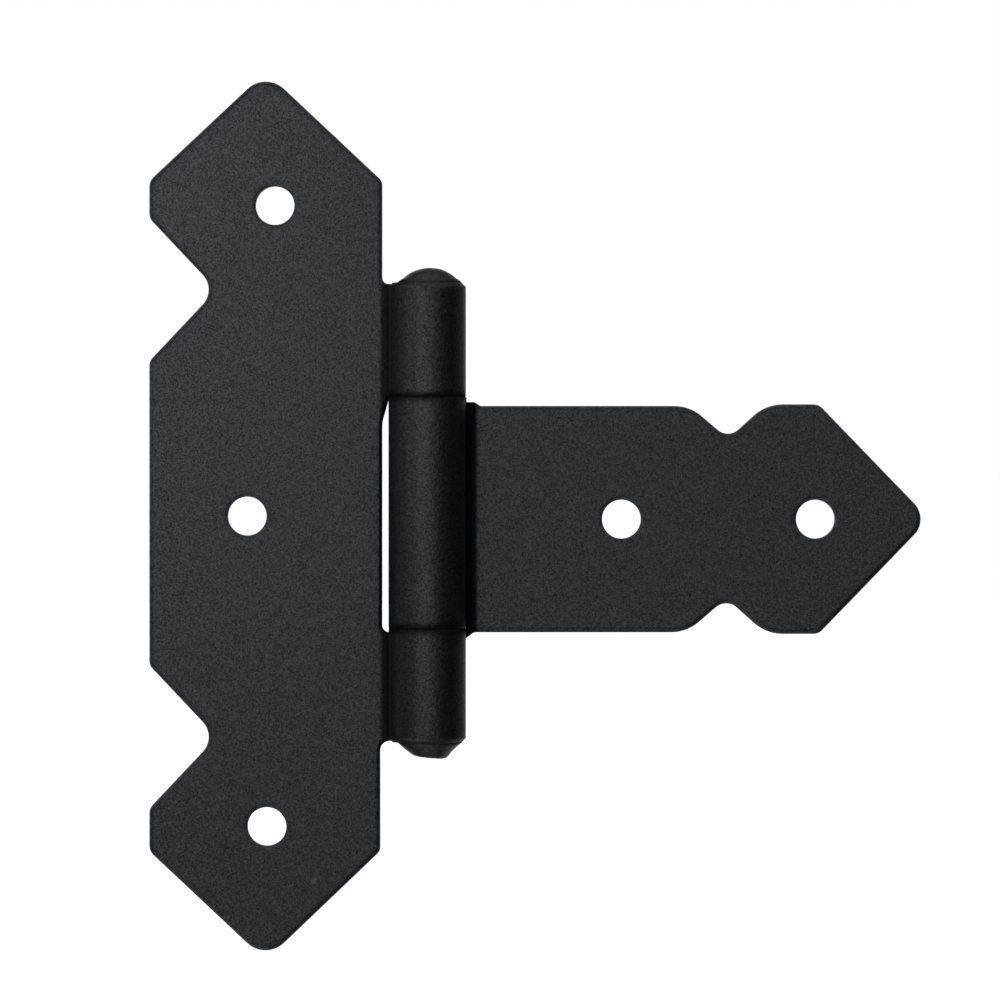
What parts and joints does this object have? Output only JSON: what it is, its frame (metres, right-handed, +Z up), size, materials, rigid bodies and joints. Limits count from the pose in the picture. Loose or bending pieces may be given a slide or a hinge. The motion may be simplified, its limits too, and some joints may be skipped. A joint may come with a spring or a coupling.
{
  "type": "tee hinge",
  "caption": "Small black steel tee hinge with a spear-ended cross leaf, a spear-ended strap and a riveted pin in rolled knuckles.",
  "frame": {"origin": "centre of the jamb leaf's middle screw hole, on the back of the leaf", "axes": "+Z up along the pin, +X along the strap, +Y out of the backs into what the hinge is screwed to, the barrel on the -Y side"},
  "size_m": [0.0951, 0.0095, 0.107],
  "materials": {
    "black_coat": "satin black coat on steel sheet, finely pebbled",
    "pin_coat": "the same satin black coat over the hammered ends of the pin"
  },
  "bodies": {
    "jamb_leaf": {"jamb_leaf": "black_coat", "hinge_pin": "pin_coat"},
    "strap_leaf": {"strap_leaf": "black_coat"}
  },
  "joints": [
    {"name": "strap_swing", "type": "hinge", "parent": "jamb_leaf", "child": "strap_leaf", "pos_m": [0.02223, -0.00475, 0], "axis": [0, 0, -1], "range_deg": [-88, 188]}
  ]
}
